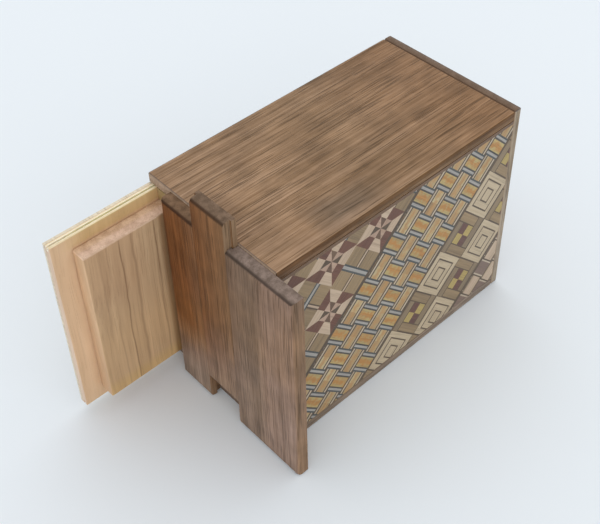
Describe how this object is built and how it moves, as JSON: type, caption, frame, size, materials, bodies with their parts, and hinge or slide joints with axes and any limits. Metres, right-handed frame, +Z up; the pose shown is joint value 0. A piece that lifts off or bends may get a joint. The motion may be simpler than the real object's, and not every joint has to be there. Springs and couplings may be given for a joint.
{
  "type": "sliding-panel puzzle box",
  "caption": "Small wooden secret box with walnut sides and marquetry faces, whose key strip, end board and lid slide in turn.",
  "frame": {"origin": "middle of the bottom side panel's resting face, under the box's body", "axes": "+X along the box from the key end to the far end, +Y out through the lid, +Z up from the resting face"},
  "size_m": [0.1583, 0.0763, 0.0995],
  "materials": {
    "walnut": "rubbed satin",
    "light_wood": "planed, uncoated",
    "marquetry": "thin clear satin coat"
  },
  "bodies": {
    "box": {"bottom_side_panel": "walnut", "top_side_panel": "walnut", "far_end_board": "walnut", "base_board": "light_wood", "base_marquetry": "marquetry", "lower_inner_wall": "light_wood", "upper_inner_wall": "light_wood", "far_inner_wall": "light_wood", "near_inner_wall": "light_wood", "lower_end_rail": "light_wood", "upper_end_rail": "light_wood", "lower_end_spline": "light_wood", "upper_end_spline": "light_wood", "lower_lid_spline": "light_wood", "upper_lid_spline": "light_wood"},
    "end_board": {"end_board_narrow_part": "walnut", "end_board_wide_part": "walnut", "end_board_backing": "light_wood"},
    "key": {"key_strip": "walnut", "key_tenon": "walnut"},
    "lid": {"lid_board": "light_wood", "lid_marquetry": "marquetry", "lid_block": "light_wood"}
  },
  "joints": [
    {"name": "lid_slide", "type": "slide", "parent": "box", "child": "lid", "axis": [1, 0, 0], "range_m": [-0.057, 0.0419]},
    {"name": "end_board_slide", "type": "slide", "parent": "box", "child": "end_board", "axis": [0, 1, 0], "range_m": [0, 0.0014]},
    {"name": "key_slide", "type": "slide", "parent": "end_board", "child": "key", "axis": [0, 0, 1], "range_m": [-0.0114, 0]}
  ]
}
